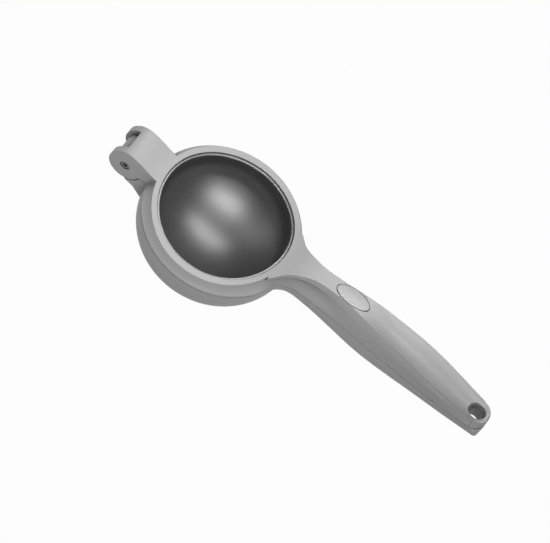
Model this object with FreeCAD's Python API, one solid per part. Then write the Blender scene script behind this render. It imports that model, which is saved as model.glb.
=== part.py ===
# Hinged lemon squeezer: two cast arms on one hinge pin, a pressed cup in the upper ring and
# a drained bowl in the lower ring. Millimetres. +X runs from the hinge to the handle end,
# +Z is up. The pieces are drawn about the middle of the head, with Z 0 where the arms meet,
# and are moved to stand on the origin when they are saved.
import FreeCAD, Part
import math
import os

# Overall sizes
overall_length = 240.0
face_width = 85.0
hinge_reach = 67.0
parting_gap = 0.3

# Upper ring
ring_flange = 1.1
flange_step = 1.4
ring_cove = 2.4
ring_side_height = 6.3
ring_land = 5.3

# Upper arm outline seen from the side, as heights above the parting plane
hinge_crest_height = 13.2
ring_hinge_height = 9.4
ring_neck_height = 10.6
handle_crest_height = 18.7
handle_crest_at = 76.0
handle_end_height = 4.2

# Handle widths, each half of the full width, and how far the root reaches into and out of the ring
root_half_width = 18.2
root_inset = 6.9
root_run = 23.0
neck_half_width = 6.5
grip_half_width = 9.6
end_half_width = 8.9
end_corner = 7.5
crease_neck = 4.7
crease_grip = 8.7
crease_end = 6.3
belly = 1.0
belly_fade = 30.0
tip_fade = 25.0
dish_depth = 1.7
dish_fade = 26.0
lower_handle_depth = 14.3
lower_neck_depth = 8.6
lower_end_depth = 8.4
handle_wall = 2.6

# Pressed cup
cup_wall = 1.5
cup_rim_height = 3.8
cup_depth = 28.0
cup_flange = 1.8
cup_flange_lap = 1.8
cup_clearance = 0.1
cup_round = 15.0

# Lower bowl
rim_wall_height = 5.3
bowl_depth = 38.0
bowl_wall = 2.8
rim_wall = 4.4
edge_break = 0.7
drain_radius = 2.0
drain_pitch = 7.4
drain_rings = 2
bowl_crown = 0.8
bowl_round = 24.0

# Hinge
pin_height = 2.0
ear_radius = 9.7
block_width = 20.0
knuckle_width = 11.2
knuckle_radius = 7.5
slot_width = 12.3
deck_lip = 3.7
hinge_clearance = 0.5
pin_radius = 2.2
pin_clearance = 0.05
head_radius = 2.8
head_height = 1.4
head_recess = 1.9
screw_radius = 1.2
socket_width = 2.4
bush_wall = 1.1
bush_length = 4.2
bush_flange_radius = 6.2
side_play = 0.08
post_short = 0.4
post_bore = 11.0
socket_depth = 0.9
lower_web = 2.2

# Badge and hanging hole
badge_length = 20.0
badge_width = 9.6
badge_at = 78.4
badge_recess = 1.3
badge_groove = 0.3
badge_stand = 0.25
badge_dome_radius = 95.0
hang_radius = 4.3
hang_rim = 2.7
hang_lean = 38.0

# Places worked out from the sizes
face_radius = face_width / 2
flange_radius = face_radius + flange_step
opening_radius = face_radius - ring_land
pin_x = ear_radius - hinge_reach
end_x = overall_length - hinge_reach
upper_face = parting_gap / 2
lower_face = -parting_gap / 2
hang_x = end_x - hang_rim - hang_radius
handle_run = end_x - flange_radius
neck_root = flange_radius - root_inset


def vec(x, y, z):
    return FreeCAD.Vector(x, y, z)


def smooth(points):
    """Height or width along X through a few points, with a gentle slope at each one."""
    xs = [point[0] for point in points]
    ys = [point[1] for point in points]
    steps = [(ys[i + 1] - ys[i]) / (xs[i + 1] - xs[i]) for i in range(len(xs) - 1)]
    slopes = [0.0]
    for i in range(1, len(xs) - 1):
        before = xs[i] - xs[i - 1]
        after = xs[i + 1] - xs[i]
        slopes.append((steps[i - 1] * after + steps[i] * before) / (before + after))
    slopes.append(steps[-1])

    def value(x):
        i = max(0, min(len(xs) - 2, sum(1 for edge in xs[1:] if edge <= x)))
        span = xs[i + 1] - xs[i]
        t = (x - xs[i]) / span
        if t < 0:
            return ys[0]
        if t > 1:
            return ys[-1] + slopes[-1] * (x - xs[-1])
        rise = (2 * t ** 3 - 3 * t ** 2 + 1) * ys[i] + (3 * t ** 2 - 2 * t ** 3) * ys[i + 1]
        lean = (t ** 3 - 2 * t ** 2 + t) * slopes[i] + (t ** 3 - t ** 2) * slopes[i + 1]
        return rise + lean * span

    return value


def along(share):
    """A place along the handle, from the ring's edge at 0 to the handle's end at 1."""
    return flange_radius + share * handle_run


def rooted(share):
    """A place along the neck's root, from inside the ring at 0 to the straight neck at 1."""
    return neck_root + share * root_run


top_height = smooth([
    (pin_x + 0.7, hinge_crest_height),
    (-face_radius, ring_hinge_height),
    (0, ring_side_height),
    (opening_radius, ring_neck_height),
    (along(0.04), 0.62 * ring_neck_height + 0.46 * handle_crest_height),
    (handle_crest_at, handle_crest_height),
    (along(0.57), 0.72 * handle_crest_height + 0.35 * handle_end_height),
    (along(0.88), 0.17 * handle_crest_height + 0.83 * handle_end_height),
    (end_x, handle_end_height),
])
edge_width = smooth([
    (rooted(0), root_half_width),
    (rooted(0.22), 0.7 * root_half_width),
    (rooted(0.39), neck_half_width + 2.4),
    (rooted(0.61), neck_half_width + 0.5),
    (rooted(1), neck_half_width),
    (along(0.28), neck_half_width + 0.4),
    (along(0.42), 0.5 * (neck_half_width + grip_half_width)),
    (along(0.8), grip_half_width),
    (end_x, end_half_width),
])
crease_width = smooth([
    (rooted(0), root_half_width - 0.7),
    (rooted(0.22), 0.66 * root_half_width),
    (rooted(0.39), crease_neck + 4.3),
    (rooted(0.61), crease_neck + 2.1),
    (rooted(1), crease_neck),
    (along(0.2), crease_neck),
    (along(0.42), 0.4 * crease_neck + 0.6 * crease_grip),
    (along(0.72), crease_grip),
    (end_x, crease_end),
])
cove_depth = smooth([
    (rooted(0), ring_cove),
    (rooted(0.39), ring_cove),
    (rooted(1), 0.5 * ring_cove),
    (rooted(1.87), 0.0),
    (end_x, 0.0),
])
lower_depth = smooth([
    (rooted(0), lower_neck_depth),
    (along(0.05), lower_neck_depth),
    (along(0.42), lower_handle_depth),
    (along(0.74), 0.3 * lower_handle_depth + 0.7 * lower_end_depth),
    (end_x, lower_end_depth),
])


def polygon(points):
    return Part.makePolygon(points + [points[0]])


def turned(edges):
    """Turns a closed profile in the XZ plane about the head's upright axis."""
    return Part.Face(Part.Wire(edges)).revolve(vec(0, 0, 0), vec(0, 0, 1), 360)


def line(a, b):
    return Part.LineSegment(a, b).toShape()


def spline(points, start=None, end=None):
    curve = Part.BSplineCurve()
    if start is None:
        curve.interpolate(points)
    else:
        curve.interpolate(points, InitialTangent=start, FinalTangent=end)
    return curve.toShape()


def oval(radius, start, deep, round_radius):
    """Half of a flattened bowl: a small arc off the wall, then a large one to the middle."""
    rise = ((radius - round_radius) ** 2 - (deep - round_radius) ** 2) / (2 * (deep - round_radius))
    big = deep + rise
    turn = math.atan2(rise, radius - round_radius)
    meet = vec(big * math.cos(turn), 0, start + rise - big * math.sin(turn))
    low = math.radians(90) - 0.5 * (math.radians(90) - turn)
    return [
        Part.Arc(
            vec(radius, 0, start),
            vec(
                radius - round_radius + round_radius * math.cos(0.5 * turn),
                0,
                start - round_radius * math.sin(0.5 * turn),
            ),
            meet,
        ).toShape(),
        Part.Arc(
            meet,
            vec(big * math.cos(low), 0, start + rise - big * math.sin(low)),
            vec(0, 0, start - deep),
        ).toShape(),
    ]


def disc(radius, low, high):
    return Part.makeCylinder(radius, high - low, vec(0, 0, low))


def box_between(x0, x1, y0, y1, z0, z1):
    return Part.makeBox(x1 - x0, y1 - y0, z1 - z0, vec(x0, y0, z0))


def across(radius, half_width):
    """A round bar on the hinge axis."""
    return Part.makeCylinder(radius, 2 * half_width, vec(pin_x, -half_width, pin_height), vec(0, 1, 0))


def bar_from(radius, y0, y1):
    return Part.makeCylinder(radius, y1 - y0, vec(pin_x, y0, pin_height), vec(0, 1, 0))


def above_arm():
    """Everything over the upper arm's outline, seen from the side."""
    crest_x = pin_x + 0.7
    tip = vec(-hinge_reach, 0, pin_height)
    crest = vec(crest_x, 0, hinge_crest_height)
    half_turn = math.sqrt(0.5)
    shoulder = vec(
        crest_x - half_turn * (crest_x + hinge_reach),
        0,
        pin_height + half_turn * (hinge_crest_height - pin_height),
    )
    nose = spline([tip, shoulder, crest], vec(0, 0, 1), vec(1, 0, 0))
    count = 34
    far_x = end_x + 8
    samples = [crest_x + (far_x - crest_x) * i / count for i in range(count + 1)]
    back = spline([vec(x, 0, top_height(x)) for x in samples])
    last = vec(far_x, 0, top_height(far_x))
    lid = hinge_crest_height + handle_crest_height
    edges = [
        nose,
        back,
        line(last, vec(far_x, 0, lid)),
        line(vec(far_x, 0, lid), vec(-hinge_reach - 5, 0, lid)),
        line(vec(-hinge_reach - 5, 0, lid), vec(-hinge_reach - 5, 0, pin_height)),
        line(vec(-hinge_reach - 5, 0, pin_height), tip),
    ]
    face = Part.Face(Part.Wire(edges))
    face.translate(vec(0, -face_width, 0))
    return face.extrude(vec(0, 2 * face_width, 0))


def beyond_end():
    """Everything outside the handle's rounded end, seen from above."""
    w = grip_half_width + 0.6
    c = end_corner
    half_turn = math.sqrt(0.5) * c
    low = -2 * bowl_depth
    start = end_x - c - 2
    a = vec(end_x - c, -w, low)
    b = vec(end_x, c - w, low)
    d = vec(end_x, w - c, low)
    e = vec(end_x - c, w, low)
    edges = [
        line(vec(start, -w, low), a),
        Part.Arc(a, vec(end_x - c + half_turn, c - w - half_turn, low), b).toShape(),
        line(b, d),
        Part.Arc(d, vec(end_x - c + half_turn, w - c + half_turn, low), e).toShape(),
        line(e, vec(start, w, low)),
        line(vec(start, w, low), vec(start, -w, low)),
    ]
    inside = Part.Face(Part.Wire(edges)).extrude(vec(0, 0, 4 * bowl_depth))
    around = box_between(end_x - c, end_x + 20, -3 * w, 3 * w, low, 2 * bowl_depth)
    return around.cut(inside)


def upper_section(x):
    """One closed section of the upper neck and handle, left open above for the side outline."""
    top = top_height(x)
    crease = crease_width(x)
    edge = edge_width(x)
    share = min(1.0, max(0.0, (x - rooted(0.78)) / belly_fade)) * min(1.0, max(0.0, (end_x - x) / tip_fade))
    bulge = belly * share
    shoulder_z = top - (0.22 * top if share > 0 else 0.2 * top)
    shoulder_y = crease + 0.12 * (top - shoulder_z) + bulge
    waist_y = min(edge, shoulder_y) - cove_depth(x) if cove_depth(x) > 0 else 0.5 * (edge + shoulder_y)
    waist_z = upper_face + ring_flange + 0.42 * (shoulder_z - upper_face - ring_flange)
    lean = (shoulder_y - crease) / (top - shoulder_z)
    extra = 3.0
    tip_y = crease - lean * extra
    low_z = upper_face + ring_flange
    right = [
        (edge, upper_face),
        (edge, low_z),
        (waist_y, waist_z),
        (shoulder_y, shoulder_z),
        (tip_y, top + extra),
    ]
    r = [vec(x, y, z) for y, z in right]
    m = [vec(x, -y, z) for y, z in right]
    return Part.Wire([
        line(m[0], r[0]),
        line(r[0], r[1]),
        spline([r[1], r[2], r[3]]),
        line(r[3], r[4]),
        line(r[4], m[4]),
        line(m[4], m[3]),
        spline([m[3], m[2], m[1]]),
        line(m[1], m[0]),
    ])


def lower_section(x):
    edge = edge_width(x)
    deep = lower_depth(x)
    z = lower_face
    right = [
        (edge, z - edge_break),
        (edge - 0.5, -0.55 * deep),
        (0.62 * edge, -0.93 * deep),
    ]
    r = [vec(x, y, h) for y, h in right]
    m = [vec(x, -y, h) for y, h in right]
    lip_r = vec(x, edge - edge_break, z)
    lip_m = vec(x, edge_break - edge, z)
    keel = vec(x, 0, -deep)
    return Part.Wire([
        line(lip_m, lip_r),
        line(lip_r, r[0]),
        spline([r[0], r[1], r[2], keel, m[2], m[1], m[0]]),
        line(m[0], lip_m),
    ])


def stations(first, last, count):
    return [first + (last - first) * i / (count - 1) for i in range(count)]


def handle_stations():
    """Places of a handle's sections, close together at the root where its width changes fast."""
    run = along(0.29) - neck_root
    root = [neck_root + run * (i / 7) ** 1.2 for i in range(7)]
    return root + stations(along(0.29), end_x + 4, 11)


def upper_ring():
    outer = flange_radius
    top = hinge_crest_height + 4
    flange_z = upper_face + ring_flange
    edges = [
        line(vec(0, 0, upper_face), vec(outer, 0, upper_face)),
        line(vec(outer, 0, upper_face), vec(outer, 0, flange_z)),
        Part.Arc(
            vec(outer, 0, flange_z),
            vec(outer - ring_cove, 0, flange_z + 0.55 * ring_side_height),
            vec(outer - flange_step, 0, top),
        ).toShape(),
        line(vec(outer - flange_step, 0, top), vec(0, 0, top)),
        line(vec(0, 0, top), vec(0, 0, upper_face)),
    ]
    return turned(edges)


def hinge_block():
    """Both ears and the deck over them, before the slot is cut."""
    half = block_width / 2
    reach = -0.8 * opening_radius
    tall = hinge_crest_height + 4
    round_end = across(ear_radius, half)
    deck = box_between(pin_x, reach, -half, half, upper_face, tall)
    nose = box_between(-hinge_reach, pin_x, -half, half, pin_height, tall)
    return round_end.fuse([deck, nose])


def knuckle_slot():
    half = slot_width / 2
    round_room = across(knuckle_radius + hinge_clearance, half)
    lip_x = pin_x - deck_lip
    front = box_between(-hinge_reach - 5, lip_x, -half, half, -ear_radius - 5, hinge_crest_height + 9)
    under = box_between(lip_x - 1, -flange_radius, -half, half, -ear_radius - 5, upper_face)
    return round_room.fuse([front, under])


def dish():
    """The leaf-shaped hollow in the top of the grip, which fades out beside the badge."""
    first = badge_at + badge_length / 2 - 5
    wires = []
    for x in stations(first, end_x + 6, 9):
        wide = crease_width(x) + 0.6
        share = min(1.0, (x - first) / dish_fade)
        middle = top_height(x) + (1 - share) * 1.2 - share * (dish_depth + 0.1)
        side = middle + dish_depth
        left = vec(x, -wide, side)
        right = vec(x, wide, side)
        arc = Part.Arc(left, vec(x, 0, middle), right).toShape()
        high_left = vec(x, -wide, side + 9)
        high_right = vec(x, wide, side + 9)
        wires.append(Part.Wire([arc, line(right, high_right), line(high_right, high_left), line(high_left, left)]))
    return Part.makeLoft(wires, True, False)


def handle_core(upper):
    """The open channel cast into the hidden side of a handle."""
    wires = []
    for x in stations(along(0.2), hang_x - hang_radius - 4, 6):
        wide = edge_width(x) - handle_wall
        if upper:
            wide = min(wide, crease_width(x) - 1.2)
            start = upper_face - 1
            deep = top_height(x) - dish_depth - handle_wall
        else:
            start = lower_face + 1
            deep = -(lower_depth(x) - handle_wall)
        low = 0.78 * wide
        wires.append(Part.makePolygon([
            vec(x, -wide, start),
            vec(x, wide, start),
            vec(x, low, deep),
            vec(x, -low, deep),
            vec(x, -wide, start),
        ]))
    return Part.makeLoft(wires, True, False)


def badge_block(length, width, low, high):
    wire = Part.Wire([Part.Ellipse(vec(badge_at, 0, low), length / 2, width / 2).toShape()])
    return Part.Face(wire).extrude(vec(0, 0, high - low))


def hang_hole():
    """An upright hole with a leaning mouth, so that it slides onto a hook."""
    lean = math.radians(hang_lean)
    straight = Part.makeCylinder(hang_radius, 4 * bowl_depth, vec(hang_x, 0, -2 * bowl_depth))
    mouth = Part.makeCylinder(hang_radius, bowl_depth, vec(hang_x, 0, 0), vec(-math.sin(lean), 0, math.cos(lean)))
    return straight, mouth


def upper_handle():
    straight, mouth = hang_hole()
    handle = Part.makeLoft([upper_section(x) for x in handle_stations()], True, False)
    for tool in (beyond_end(), dish(), handle_core(True), straight, mouth):
        handle = handle.cut(tool)
    return handle


def upper_arm():
    half = block_width / 2
    arm = upper_ring().fuse(hinge_block()).fuse(upper_handle())
    arm = arm.cut(above_arm())
    arm = arm.cut(disc(opening_radius, -1, 2 * handle_crest_height))
    arm = arm.cut(disc(opening_radius + cup_flange_lap, -1, upper_face + cup_flange + cup_clearance))
    arm = arm.cut(knuckle_slot())
    floor = top_height(badge_at) - badge_recess
    seat = badge_block(badge_length + 2 * badge_groove, badge_width + 2 * badge_groove, floor, 2 * handle_crest_height)
    arm = arm.cut(seat)
    arm = arm.cut(bar_from(pin_radius + pin_clearance, -block_width, block_width))
    arm = arm.cut(bar_from(head_radius + pin_clearance, half - head_recess, block_width))
    return arm.cut(bar_from(head_radius + pin_clearance, -block_width, head_recess - half))


def press_cup():
    """The pressed cup: its rim stands inside the ring and its flange bears up under the ring."""
    outer = opening_radius - cup_clearance
    inner = outer - cup_wall
    lap = opening_radius + cup_flange_lap - cup_clearance
    lead = upper_face + cup_flange
    base = cup_rim_height - cup_depth
    deep = upper_face - base
    outside = oval(outer, upper_face, deep + cup_wall, cup_round + cup_wall)
    inside = oval(inner, upper_face, deep, cup_round)
    edges = [
        line(vec(inner, 0, upper_face), vec(inner, 0, cup_rim_height)),
        line(vec(inner, 0, cup_rim_height), vec(outer, 0, cup_rim_height)),
        line(vec(outer, 0, cup_rim_height), vec(outer, 0, lead)),
        line(vec(outer, 0, lead), vec(lap, 0, lead)),
        line(vec(lap, 0, lead), vec(lap, 0, upper_face)),
        line(vec(lap, 0, upper_face), vec(outer, 0, upper_face)),
        outside[0],
        outside[1],
        line(vec(0, 0, base - cup_wall), vec(0, 0, base)),
        inside[1],
        inside[0],
    ]
    return turned(edges)


def badge():
    """The bare oval inlay, a shallow dome that fills the recess in the neck."""
    floor = top_height(badge_at) - badge_recess
    blank = badge_block(badge_length, badge_width, floor, floor + 2 * badge_recess)
    dome_top = top_height(badge_at) + badge_stand
    dome = Part.makeSphere(badge_dome_radius, vec(badge_at, 0, dome_top - badge_dome_radius))
    return blank.common(dome)


def lower_bowl_blank():
    outer = flange_radius
    wall_low = -rim_wall_height
    crown = bowl_depth + bowl_crown
    edges = [
        line(vec(0, 0, lower_face), vec(outer - edge_break, 0, lower_face)),
        line(vec(outer - edge_break, 0, lower_face), vec(outer, 0, lower_face - edge_break)),
        line(vec(outer, 0, lower_face - edge_break), vec(outer, 0, wall_low)),
        *oval(outer, wall_low, crown - rim_wall_height, bowl_round),
        line(vec(0, 0, -crown), vec(0, 0, lower_face)),
    ]
    blank = turned(edges)
    return blank.cut(box_between(-face_width, face_width, -face_width, face_width, -2 * bowl_depth, -bowl_depth))


def lower_bowl_room():
    inner = flange_radius - rim_wall
    wall_low = -rim_wall_height
    floor = bowl_depth - bowl_wall
    edges = [
        line(vec(0, 0, 1), vec(inner, 0, 1)),
        line(vec(inner, 0, 1), vec(inner, 0, wall_low)),
        *oval(inner, wall_low, floor - rim_wall_height, bowl_round - rim_wall),
        line(vec(0, 0, -floor), vec(0, 0, 1)),
    ]
    return turned(edges)


def drain_tools():
    """Rings of holes in the bowl's floor, closer to a hexagon's pitch as they go out."""
    tools = []
    for ring in range(drain_rings + 1):
        count = max(1, 6 * ring)
        for i in range(count):
            angle = 2 * math.pi * i / count
            x = ring * drain_pitch * math.cos(angle)
            y = ring * drain_pitch * math.sin(angle)
            tools.append(Part.makeCylinder(drain_radius, bowl_depth, vec(x, y, -bowl_depth - bowl_crown)))
    return tools


def knuckle():
    """The barrel between the ears and the neck that carries it."""
    half = knuckle_width / 2
    room = ear_radius + hinge_clearance
    tail = -0.8 * flange_radius
    under = pin_height - ear_radius - lower_web
    barrel = across(knuckle_radius, half)
    points = [
        vec(pin_x - 1, 0, pin_height - knuckle_radius + 0.6),
        vec(pin_x + 4, 0, pin_height - ear_radius - 0.6),
        vec(pin_x + 9, 0, under + 0.6),
        vec(-face_radius, 0, -rim_wall_height - 8.0),
        vec(tail, 0, -rim_wall_height - 12.0),
        vec(tail, 0, lower_face),
        vec(pin_x, 0, lower_face),
    ]
    side = Part.Face(polygon(points))
    web = side.extrude(vec(0, knuckle_width, 0))
    web.translate(vec(0, -half, 0))
    neck = side.extrude(vec(0, block_width, 0))
    neck.translate(vec(0, -block_width / 2, 0))
    neck = neck.cut(across(room, block_width))
    return barrel.fuse(web).fuse(neck)


def lower_handle():
    handle = Part.makeLoft([lower_section(x) for x in handle_stations()], True, False)
    straight, mouth = hang_hole()
    for tool in (beyond_end(), handle_core(False), straight):
        handle = handle.cut(tool)
    return handle


def lower_arm():
    arm = lower_bowl_blank().fuse(lower_handle()).fuse(knuckle())
    arm = arm.cut(lower_bowl_room())
    for tool in drain_tools():
        arm = arm.cut(tool)
    return arm.cut(bar_from(pin_radius + bush_wall, -knuckle_width, knuckle_width))


def bush(side):
    """One flanged bush: its sleeve fills the knuckle's bore, its flange spaces the ear."""
    half = knuckle_width / 2
    flange = (slot_width - knuckle_width) / 2 - side_play
    sleeve = bar_from(pin_radius + bush_wall, half - bush_length, half)
    collar = bar_from(bush_flange_radius, half, half + flange)
    shape = sleeve.fuse(collar).cut(bar_from(pin_radius + pin_clearance, -half, 2 * half))
    if side < 0:
        shape.rotate(vec(pin_x, 0, pin_height), vec(0, 0, 1), 180)
    return shape


def hinge_post():
    """The headed sleeve that the arms turn on, bored for the screw."""
    half = block_width / 2
    seat = half - head_recess
    barrel = bar_from(pin_radius, -seat + post_short, seat)
    head = bar_from(head_radius, seat, seat + head_height)
    bore = bar_from(screw_radius, -seat, post_bore - seat)
    return barrel.fuse(head).cut(bore)


def hinge_screw():
    half = block_width / 2
    seat = half - head_recess
    head = bar_from(head_radius, -seat - head_height, -seat)
    shank = bar_from(screw_radius - 0.02, -seat, post_bore - seat - 1.0)
    corners = [math.radians(60 * i) for i in range(6)]
    reach = socket_width / math.sqrt(3)
    wire = polygon([
        vec(pin_x + reach * math.cos(a), -seat - head_height, pin_height + reach * math.sin(a)) for a in corners])
    socket = Part.Face(wire).extrude(vec(0, socket_depth, 0))
    return head.fuse(shank).cut(socket)


def saved(name, shape):
    """Writes one piece, moved so that the closed squeezer stands centred on the origin."""
    placed = shape.copy()
    placed.translate(vec(hinge_reach - overall_length / 2, 0, bowl_depth))
    placed.exportStep("parts/" + name + ".step")
    print(name, len(placed.Solids), placed.isValid(), round(placed.Volume, 1))


os.makedirs("parts", exist_ok=True)
saved("upper_arm", upper_arm())
saved("press_cup", press_cup())
saved("badge_inlay", badge())
saved("lower_arm", lower_arm())
saved("bush_near", bush(-1))
saved("bush_far", bush(1))
saved("hinge_post", hinge_post())
saved("hinge_screw", hinge_screw())
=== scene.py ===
import math
import bmesh
import bpy
from mathutils import Matrix, Vector


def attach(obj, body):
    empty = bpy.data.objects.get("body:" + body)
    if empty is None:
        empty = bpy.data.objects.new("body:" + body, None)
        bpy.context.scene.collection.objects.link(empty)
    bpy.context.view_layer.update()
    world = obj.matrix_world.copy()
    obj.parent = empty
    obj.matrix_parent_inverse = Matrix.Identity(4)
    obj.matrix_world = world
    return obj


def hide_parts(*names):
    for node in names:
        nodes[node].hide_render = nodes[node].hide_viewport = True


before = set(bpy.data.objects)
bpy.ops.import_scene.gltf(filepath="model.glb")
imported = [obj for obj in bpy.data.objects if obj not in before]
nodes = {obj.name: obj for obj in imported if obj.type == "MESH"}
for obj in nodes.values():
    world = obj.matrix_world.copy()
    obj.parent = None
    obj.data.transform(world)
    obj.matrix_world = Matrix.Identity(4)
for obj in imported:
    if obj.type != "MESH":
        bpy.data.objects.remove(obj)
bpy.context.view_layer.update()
weldDistance = 0.000002
partingHeight = 0.038  # where the two arms meet when shut
cupCentre = (-0.053, 0.0)
print("frame loaded:", len(nodes), "pieces")


# Shader helpers: expressions on sockets add their own Math nodes
class Channel:
    def __init__(self, finish, socket):
        self.finish = finish
        self.socket = socket

    def maths(self, operation, first, second):
        made = self.finish.node("ShaderNodeMath", {"operation": operation}, {0: first, 1: second})
        return Channel(self.finish, made.outputs[0])

    def __add__(self, other):
        return self.maths("ADD", self, other)

    __radd__ = __add__

    def __sub__(self, other):
        return self.maths("SUBTRACT", self, other)

    def __rsub__(self, other):
        return self.maths("SUBTRACT", other, self)

    def __mul__(self, other):
        return self.maths("MULTIPLY", self, other)

    __rmul__ = __mul__

    def __gt__(self, other):
        return self.maths("GREATER_THAN", self, other)


class Finish:
    def __init__(self, owner):
        self.owner = owner
        owner.use_nodes = True
        self.tree = owner.node_tree
        self.tree.nodes.clear()

    def node(self, kind, settings=None, sockets=None):
        made = self.tree.nodes.new(kind)
        for key, value in (settings or {}).items():
            setattr(made, key, value)
        for key, value in (sockets or {}).items():
            if isinstance(value, Channel):
                self.tree.links.new(value.socket, made.inputs[key])
            elif isinstance(value, bpy.types.NodeSocket):
                self.tree.links.new(value, made.inputs[key])
            else:
                made.inputs[key].default_value = value
        return made

    def place(self):
        return self.node("ShaderNodeTexCoord").outputs["Object"]

    def noise(self, scale, detail):
        made = self.node("ShaderNodeTexNoise", {}, {"Vector": self.place(), "Scale": scale, "Detail": detail})
        return Channel(self, made.outputs["Fac"])

    def shade(self, factor, dark, light):
        made = self.node("ShaderNodeMix", {"data_type": "RGBA"}, {0: factor, 6: dark, 7: light})
        return made.outputs[2]

    def coat(self, look, colour, speckle, bump):  # the gloss varies a little with the speckle
        shader = self.node("ShaderNodeBsdfPrincipled", {}, {
            "Base Color": colour,
            "Metallic": look["metallic"],
            "Roughness": look["roughness"] + look["roughnessSpread"] * (speckle - 0.5),
            "Normal": bump,
        })
        self.node("ShaderNodeOutputMaterial", {}, {"Surface": shader.outputs[0]})
        return self.owner


def grey(level):
    return (level, level, level, 1.0)


# Satin finish: fine grain, slow mottling, softened edges, and painted shade that darkens seams, creases and
# hollows
satinMix = {"grainDetail": 3, "mottleDetail": 2, "mottleShare": 0.55, "paintedShadeSamples": 8, "edgeSamples": 6}


def satin(name, look):
    finish = Finish(bpy.data.materials.new(name))
    grain = finish.noise(look["grainPerMetre"], satinMix["grainDetail"])
    mottle = finish.noise(look["mottlePerMetre"], satinMix["mottleDetail"])
    # painted shade: ambient occlusion darkens the colour in seams, creases, hollows and gaps between parts
    shadeOcclusion = finish.node("ShaderNodeAmbientOcclusion", {"samples": satinMix["paintedShadeSamples"]}, {
        "Distance": look["paintedShadeReach"]})
    clear = look["paintedShadeFloor"] + (1 - look["paintedShadeFloor"]) * Channel(finish, shadeOcclusion.outputs["AO"])
    share = satinMix["mottleShare"]
    tone = finish.shade(share * mottle + (1 - share) * grain, grey(look["dark"]), grey(look["light"]))
    colour = finish.shade(clear, grey(look["paintedShade"]), tone)
    soft = finish.node("ShaderNodeBevel", {"samples": satinMix["edgeSamples"]}, {"Radius": look["edgeRadius"]})
    bump = finish.node("ShaderNodeBump", {}, {
        "Strength": look["bump"], "Distance": look["bumpDepth"], "Height": grain, "Normal": soft.outputs[0]})
    return finish, grain, mottle, colour, bump.outputs[0]


# Cast arms: painted shade makes the tone fall a little towards the grip's end, as the photograph shows it
castLook = {
    "dark": 0.41, "light": 0.48, "grainPerMetre": 2400.0, "mottlePerMetre": 70.0, "edgeRadius": 0.0006,
    "bump": 0.12, "bumpDepth": 0.00005, "roughness": 0.48, "roughnessSpread": 0.06, "metallic": 0.1,
    "paintedShade": 0.02, "paintedShadeFloor": -0.25, "paintedShadeReach": 0.009,
    "tipShadeFrom": 0.02, "tipShadeTo": 0.115, "tipShadeShare": 0.34, "tipShadeTone": 0.12,
}


def castMetal(look):
    finish, grain, mottle, colour, bump = satin("castMetal", look)
    along = finish.node("ShaderNodeSeparateXYZ", {}, {0: finish.place()})
    # painted shade: the colour darkens along X towards the grip's end
    tipShade = finish.node("ShaderNodeMapRange", {"interpolation_type": "SMOOTHSTEP"}, {
        "Value": along.outputs["X"], "From Min": look["tipShadeFrom"], "From Max": look["tipShadeTo"],
        "To Min": 0.0, "To Max": look["tipShadeShare"]})
    tipShaded = finish.shade(tipShade.outputs["Result"], colour, grey(look["tipShadeTone"]))
    return finish.coat(look, tipShaded, mottle, bump)


# Dark cup with its light turned rim
cupLook = {
    "dark": 0.19, "light": 0.24, "grainPerMetre": 3000.0, "mottlePerMetre": 60.0, "edgeRadius": 0.0003,
    "bump": 0.25, "bumpDepth": 0.00006, "roughness": 0.44, "roughnessSpread": 0.05, "metallic": 0.95,
    "paintedShade": 0.05, "paintedShadeFloor": 0.6, "paintedShadeReach": 0.003, "rimColour": 0.28, "rimRadius": 0.03575,
}


def cupCoating(look):
    finish, grain, mottle, colour, bump = satin("cupCoating", look)
    offset = finish.node("ShaderNodeVectorMath", {"operation": "MULTIPLY_ADD"}, {
        0: finish.place(), 1: (1.0, 1.0, 0.0), 2: (-cupCentre[0], -cupCentre[1], 0.0)})
    spread = finish.node("ShaderNodeVectorMath", {"operation": "LENGTH"}, {0: offset.outputs[0]})
    rim = Channel(finish, spread.outputs["Value"]) > look["rimRadius"]
    return finish.coat(look, finish.shade(rim, colour, grey(look["rimColour"])), grain, bump)


# Badge, hinge pin and bushes
badgeLook = {
    "dark": 0.34, "light": 0.41, "grainPerMetre": 3200.0, "mottlePerMetre": 90.0, "edgeRadius": 0.0004,
    "bump": 0.10, "bumpDepth": 0.00004, "roughness": 0.38, "roughnessSpread": 0.06, "metallic": 0.25,
    "paintedShade": 0.03, "paintedShadeFloor": 0.2, "paintedShadeReach": 0.002,
}
steelLook = {
    "dark": 0.12, "light": 0.20, "grainPerMetre": 1800.0, "mottlePerMetre": 300.0, "edgeRadius": 0.0002,
    "bump": 0.15, "bumpDepth": 0.00004, "roughness": 0.32, "roughnessSpread": 0.06, "metallic": 0.9,
    "paintedShade": 0.03, "paintedShadeFloor": 0.2, "paintedShadeReach": 0.002,
}
bushLook = {
    "dark": 0.20, "light": 0.26, "grainPerMetre": 2000.0, "mottlePerMetre": 200.0, "edgeRadius": 0.0002,
    "bump": 0.10, "bumpDepth": 0.00003, "roughness": 0.5, "roughnessSpread": 0.06, "metallic": 0.0,
    "paintedShade": 0.03, "paintedShadeFloor": 0.2, "paintedShadeReach": 0.002,
}


def plainSatin(name, look):
    finish, grain, mottle, colour, bump = satin(name, look)
    return finish.coat(look, colour, grain, bump)


def dress(names, material):
    for name in names:
        for slot in nodes[name].material_slots:
            slot.material = material


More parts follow.
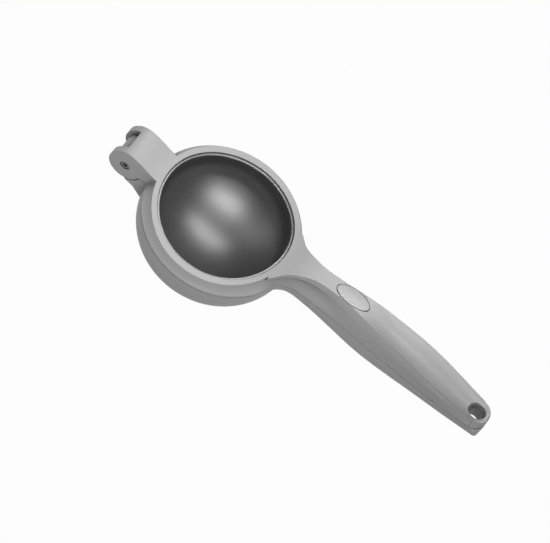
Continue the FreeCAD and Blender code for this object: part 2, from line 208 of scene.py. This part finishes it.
# Shape helpers
def smoothLine(points):  # a height or width along X through a few points
    xs = [point[0] for point in points]
    ys = [point[1] for point in points]
    last = len(xs) - 1
    steps = [(ys[i + 1] - ys[i]) / (xs[i + 1] - xs[i]) for i in range(last)]
    slopes = [0.0]
    for i in range(1, last):
        before = xs[i] - xs[i - 1]
        after = xs[i + 1] - xs[i]
        slopes.append((steps[i - 1] * after + steps[i] * before) / (before + after))
    slopes.append(steps[-1])

    def value(x):
        i = max(0, min(last - 1, sum(1 for edge in xs[1:] if edge <= x)))
        span = xs[i + 1] - xs[i]
        t = (x - xs[i]) / span
        if t > 1:
            return ys[-1] + slopes[-1] * (x - xs[-1])
        rise = (2 * t ** 3 - 3 * t ** 2 + 1) * ys[i] + (3 * t ** 2 - 2 * t ** 3) * ys[i + 1]
        lean = (t ** 3 - 2 * t ** 2 + t) * slopes[i] + (t ** 3 - t ** 2) * slopes[i + 1]
        return rise + lean * span

    return value


def ease(t):
    t = max(0.0, min(1.0, t))
    return t * t * (3 - 2 * t)


def linked(name, data):
    made = bpy.data.objects.new(name, data)
    bpy.context.scene.collection.objects.link(made)
    return made


def meshObject(name, verts, faces):
    mesh = bpy.data.meshes.new(name)
    mesh.from_pydata(verts, [], faces)
    work = bmesh.new()
    work.from_mesh(mesh)
    bmesh.ops.remove_doubles(work, verts=work.verts, dist=weldDistance)
    bmesh.ops.recalc_face_normals(work, faces=work.faces)
    work.to_mesh(mesh)
    work.free()
    return linked(name, mesh)


def tube(name, rings):  # closes a row of matching outlines into one solid
    count = len(rings[0])
    verts = [point for ring in rings for point in ring]
    faces = [tuple(reversed(range(count))), tuple(range(len(verts) - count, len(verts)))]
    for row in range(len(rings) - 1):
        for i in range(count):
            j = (i + 1) % count
            base = row * count
            faces.append((base + i, base + j, base + count + j, base + count + i))
    return meshObject(name, verts, faces)


def weldedCopy(name, node):
    mesh = nodes[node].data.copy()
    mesh.name = name
    if "custom_normal" in mesh.attributes:
        mesh.attributes.remove(mesh.attributes["custom_normal"])
    work = bmesh.new()
    work.from_mesh(mesh)
    bmesh.ops.remove_doubles(work, verts=work.verts, dist=weldDistance)
    bmesh.ops.dissolve_degenerate(work, edges=work.edges, dist=5 * weldDistance)
    work.to_mesh(mesh)
    work.free()
    return linked(name, mesh)


def combine(shape, tool, operation):
    change = shape.modifiers.new("combine", "BOOLEAN")
    change.operation = operation
    change.solver = "EXACT"
    change.use_hole_tolerant = True
    change.object = tool
    bpy.context.view_layer.update()
    evaluated = shape.evaluated_get(bpy.context.evaluated_depsgraph_get())
    made = bpy.data.meshes.new_from_object(evaluated)
    shape.modifiers.remove(change)
    shape.data = made
    bpy.data.objects.remove(tool)


def softShading(shape, angle):
    shape.data.shade_smooth()
    shape.data.set_sharp_from_angle(angle=math.radians(angle))


def finishPiece(shape, node, body, material):
    shape.data.materials.clear()
    shape.data.materials.append(material)
    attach(shape, body)
    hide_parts(node)


# Upper arm: the leaf-shaped hollow runs from the badge to a round rim at the hanging hole
gripForm = {
    # along X, the height of the hollow's edge above the parting, then its half width
    "crest": [(-0.0158, 0.0106), (-0.0039, 0.01517), (0.023, 0.0187), (0.0645, 0.01493), (0.1045, 0.00667),
              (0.12, 0.0042)],
    "crease": [(0.007, 0.0047), (0.0167, 0.0047), (0.0451, 0.0071), (0.0839, 0.0087), (0.12, 0.0063)],
    "fillFrom": 0.037, "fillDeep": 0.0022, "fillInset": 0.00003, "fillRows": 44,
    "tipFrom": 0.098, "tipFloor": 0.0006, "hollowEnd": 0.1192,
    "dishFrom": 0.029, "dishRun": 0.026, "dishDepth": 0.0032, "dishClose": 0.0070,
    "dishOver": 1.06, "dishSkim": 0.00002, "dishLid": 0.004, "dishRows": 72, "dishColumns": 24,
    "holeX": 0.113, "holeRadius": 0.0043, "holeLean": 25.0, "holeLevels": (-0.004, 0.0, 0.02), "holeSides": 48,
    "tipLow": (0.0070, 0.0092), "tipHigh": (0.0062, 0.0049), "tipTall": 0.008, "tipClear": 0.02, "tipSides": 32,
    "sharpAngle": 30.0,
}


def gripFiller(form, crest, crease):  # fills the solid's shallow hollow before the deeper one is cut
    rings = []
    for i in range(form["fillRows"] + 1):
        x = form["fillFrom"] + (form["hollowEnd"] - form["fillFrom"]) * i / form["fillRows"]
        half = crease(x) - form["fillInset"]
        top = partingHeight + crest(x)
        low = top - form["fillDeep"] if x < form["tipFrom"] else partingHeight + form["tipFloor"]
        rings.append([(x, -half, low), (x, half, low), (x, half, top), (x, -half, top)])
    return tube("gripFiller", rings)


def dishTool(form, crest, crease):
    rings = []
    over = form["dishOver"]
    for i in range(form["dishRows"] + 1):
        x = form["dishFrom"] + (form["hollowEnd"] - form["dishFrom"]) * i / form["dishRows"]
        half = crease(x)
        depth = form["dishDepth"] * ease((x - form["dishFrom"]) / form["dishRun"])
        depth *= ease((form["hollowEnd"] - x) / form["dishClose"])
        top = partingHeight + crest(x) + form["dishSkim"]
        ring = []
        for j in range(form["dishColumns"] + 1):
            share = -over + 2 * over * j / form["dishColumns"]
            ring.append((x, share * half, top - depth * (1 - share ** 2)))
        ring += [(x, over * half, top + form["dishLid"]), (x, -over * half, top + form["dishLid"])]
        rings.append(ring)
    return tube("dishTool", rings)


def holeTool(form):  # round below, and drawn out towards the head above
    rings = []
    for level in form["holeLevels"]:
        ring = []
        for i in range(form["holeSides"]):
            angle = 2 * math.pi * (i + 0.5) / form["holeSides"]
            x = form["holeX"] + form["holeRadius"] * math.cos(angle)
            if math.cos(angle) < 0:
                x -= max(0, level) * math.tan(math.radians(form["holeLean"]))
            ring.append((x, form["holeRadius"] * math.sin(angle), partingHeight + level))
        rings.append(ring)
    return tube("holeTool", rings)


def tipTool(form):  # all that lies outside the rounded tip, which narrows upwards
    rings = []
    edge = form["holeX"]
    clear = form["tipClear"]
    for level, reach in ((0.0, form["tipLow"]), (form["tipTall"], form["tipHigh"])):
        height = partingHeight + level
        ring = []
        for i in range(form["tipSides"] + 1):
            angle = math.pi * (i / form["tipSides"] - 0.5)
            ring.append((edge + reach[0] * math.cos(angle), reach[1] * math.sin(angle), height))
        ring += [(edge, clear, height), (edge + clear, clear, height)]
        ring += [(edge + clear, -clear, height), (edge, -clear, height)]
        rings.append(ring)
    return tube("tipTool", rings)


def dressedUpperArm(form, material):
    crest = smoothLine(form["crest"])
    crease = smoothLine(form["crease"])
    arm = weldedCopy("castUpperArm", "upper_arm")
    combine(arm, gripFiller(form, crest, crease), "UNION")
    combine(arm, holeTool(form), "DIFFERENCE")
    combine(arm, dishTool(form, crest, crease), "DIFFERENCE")
    combine(arm, tipTool(form), "DIFFERENCE")
    softShading(arm, form["sharpAngle"])
    finishPiece(arm, "upper_arm", "upper", material)


# Pressed cup: its turned rim follows the ring's saddle just below the ring's edge
cupForm = {
    "radius": 0.0371, "wall": 0.0015, "sideRound": 0.015, "deep": 0.02435, "arcSteps": 10, "sectors": 144,
    "flangeTall": 0.0018, "flangeLap": 0.0016, "rimDrop": 0.0010, "rimRound": 0.0003,
    "ringInset": 0.0006, "lookFrom": 0.2, "sharpAngle": 35.0,
}


def ovalProfile(radius, deep, sideRound, steps):  # two tangent arcs from the wall down to the middle
    rise = ((radius - sideRound) ** 2 - (deep - sideRound) ** 2) / (2 * (deep - sideRound))
    big = deep + rise
    turn = math.atan2(rise, radius - sideRound)
    profile = []
    for i in range(steps):
        angle = turn * i / steps
        profile.append((radius - sideRound + sideRound * math.cos(angle), -sideRound * math.sin(angle)))
    for i in range(2 * steps):
        angle = turn + (math.pi / 2 - turn) * i / (2 * steps)
        profile.append((big * math.cos(angle), rise - big * math.sin(angle)))
    return profile + [(0.0, -deep)]


def cupPoint(radius, angle, height):
    return (cupCentre[0] + radius * math.cos(angle), cupCentre[1] + radius * math.sin(angle), height)


def ringHeight(form, angle):  # the ring's top just outside the cup, read off the solid
    start = Vector(cupPoint(form["radius"] + form["ringInset"], angle, form["lookFrom"]))
    return nodes["upper_arm"].ray_cast(start, Vector((0, 0, -1)))[1].z


def cupRows(form):  # radius, height, and whether that height counts from the rim
    outer = form["radius"]
    wall = form["wall"]
    inner = outer - wall
    edge = form["rimRound"]
    lap = outer + form["flangeLap"]
    flangeTop = partingHeight + form["flangeTall"]
    inside = ovalProfile(inner, form["deep"], form["sideRound"], form["arcSteps"])
    outside = ovalProfile(outer, form["deep"] + wall, form["sideRound"] + wall, form["arcSteps"])
    rows = [(r, partingHeight + z, False) for r, z in reversed(inside)]
    rows += [(inner, -edge, True), (inner + edge, 0.0, True), (outer - edge, 0.0, True), (outer, -edge, True)]
    rows += [(outer, flangeTop, False), (lap, flangeTop, False), (lap, partingHeight, False)]
    return rows + [(r, partingHeight + z, False) for r, z in outside]


def dressedCup(form, material):
    rows = cupRows(form)
    count = len(rows)
    verts = []
    faces = []
    for i in range(form["sectors"]):
        angle = 2 * math.pi * i / form["sectors"]
        rim = ringHeight(form, angle) - form["rimDrop"]
        verts += [cupPoint(r, angle, rim + z if fromRim else z) for r, z, fromRim in rows]
        j = (i + 1) % form["sectors"]
        for row in range(count - 1):
            faces.append((i * count + row, j * count + row, j * count + row + 1, i * count + row + 1))
    cup = meshObject("pressCup", verts, faces)
    softShading(cup, form["sharpAngle"])
    finishPiece(cup, "press_cup", "upper", material)


castFinish = castMetal(castLook)
dress(["upper_arm", "lower_arm"], castFinish)
dressedCup(cupForm, cupCoating(cupLook))  # reads the ring before the arm is replaced
dressedUpperArm(gripForm, castFinish)
dress(["badge_inlay"], plainSatin("badgeSatin", badgeLook))
dress(["hinge_post", "hinge_screw"], plainSatin("pinSteel", steelLook))
dress(["bush_near", "bush_far"], plainSatin("bushNylon", bushLook))
print("pieces dressed")

# Studio: floor, soft boxes and camera
studio = {
    "floorHalf": 2.5, "floorTone": 0.12, "floorGlow": 0.98, "worldLight": 0.10,
    "aim": (-0.02, 0.0, 0.04), "away": 0.9, "long": 0.9,
    "boxes": [
        {"name": "cameraSideBox", "towards": (0.20, -0.52, 0.83), "deep": 0.20, "watts": 5.6},
        {"name": "farSideBox", "towards": (0.09, 0.42, 0.90), "deep": 0.12, "watts": 3.9},
        {"name": "headSideBox", "towards": (-0.80, -0.20, 0.56), "deep": 0.50, "watts": 1.3},
    ],
}


def whiteToTheEye(finish):  # 1 for the rays that see a white floor: camera, gloss and glass
    path = finish.node("ShaderNodeLightPath")
    seen = Channel(finish, path.outputs["Is Camera Ray"]) + Channel(finish, path.outputs["Is Glossy Ray"])
    return seen + Channel(finish, path.outputs["Is Transmission Ray"])


def paleFloor(look):
    half = look["floorHalf"]
    corners = [(-half, -half, 0), (half, -half, 0), (half, half, 0), (-half, half, 0)]
    mesh = bpy.data.meshes.new("floor")
    mesh.from_pydata(corners, [], [(0, 1, 2, 3)])
    finish = Finish(bpy.data.materials.new("paleFloor"))
    matt = finish.node("ShaderNodeBsdfDiffuse", {}, {"Color": grey(look["floorTone"])})
    glow = finish.node("ShaderNodeEmission", {}, {"Color": grey(1.0), "Strength": 1.0})
    mixed = finish.node("ShaderNodeMixShader", {}, {
        0: look["floorGlow"] * whiteToTheEye(finish), 1: matt.outputs[0], 2: glow.outputs[0]})
    finish.node("ShaderNodeOutputMaterial", {}, {"Surface": mixed.outputs[0]})
    mesh.materials.append(finish.owner)
    linked("floor", mesh)


def studioWorld(look):  # white to the camera, and a dim even light on the object
    world = bpy.data.worlds.new("studio")
    bpy.context.scene.world = world
    finish = Finish(world)
    dim = finish.node("ShaderNodeBackground", {}, {"Color": grey(1.0), "Strength": look["worldLight"]})
    white = finish.node("ShaderNodeBackground", {}, {"Color": grey(1.0), "Strength": 1.0})
    path = finish.node("ShaderNodeLightPath")
    mixed = finish.node("ShaderNodeMixShader", {}, {
        0: path.outputs["Is Camera Ray"], 1: dim.outputs[0], 2: white.outputs[0]})
    finish.node("ShaderNodeOutputWorld", {}, {"Surface": mixed.outputs[0]})


def softBox(look, room):
    lamp = bpy.data.lights.new(look["name"], "AREA")
    lamp.shape = "RECTANGLE"
    lamp.size = room["long"]
    lamp.size_y = look["deep"]
    lamp.energy = look["watts"]
    towards = Vector(look["towards"]).normalized()
    upward = towards.cross(Vector((1, 0, 0))).normalized()
    across = upward.cross(towards).normalized()
    turn = Matrix((across, upward, towards)).transposed().to_4x4()
    box = linked(look["name"], lamp)
    box.matrix_world = Matrix.Translation(Vector(room["aim"]) + towards * room["away"]) @ turn


paleFloor(studio)
studioWorld(studio)
for boxLook in studio["boxes"]:
    softBox(boxLook, studio)

# The photograph's view: lean from upright, turn of the handle in the picture, and scale
cameraView = {
    "lean": 32.4, "turn": 36.5, "yaw": 0.9, "away": 2.0, "lookAt": (-0.0151, -0.0046, 0.038),
    "pixelsPerMetre": 1925.0, "imageWidth": 550, "sensor": 36.0, "farthest": 20.0,
}


def photoCamera(look):
    lean = math.radians(look["lean"])
    turn = math.radians(look["turn"])
    right = Vector((math.cos(turn), math.sin(turn) * math.cos(lean), math.sin(turn) * math.sin(lean)))
    upward = Vector((-math.sin(turn), math.cos(turn) * math.cos(lean), math.cos(turn) * math.sin(lean)))
    yaw = Matrix.Rotation(math.radians(look["yaw"]), 3, "Z")
    right = yaw @ right
    upward = yaw @ upward
    backward = right.cross(upward)
    camera = bpy.data.cameras.new("photoCamera")
    camera.sensor_width = look["sensor"]
    camera.lens = look["sensor"] * look["away"] * look["pixelsPerMetre"] / look["imageWidth"]
    camera.clip_end = look["farthest"]
    turned = Matrix((right, upward, backward)).transposed().to_4x4()
    eye = linked("photoCamera", camera)
    eye.matrix_world = Matrix.Translation(Vector(look["lookAt"]) + backward * look["away"]) @ turned
    bpy.context.scene.camera = eye


photoCamera(cameraView)
bpy.context.scene.view_settings.view_transform = "Standard"
print("studio and camera set")
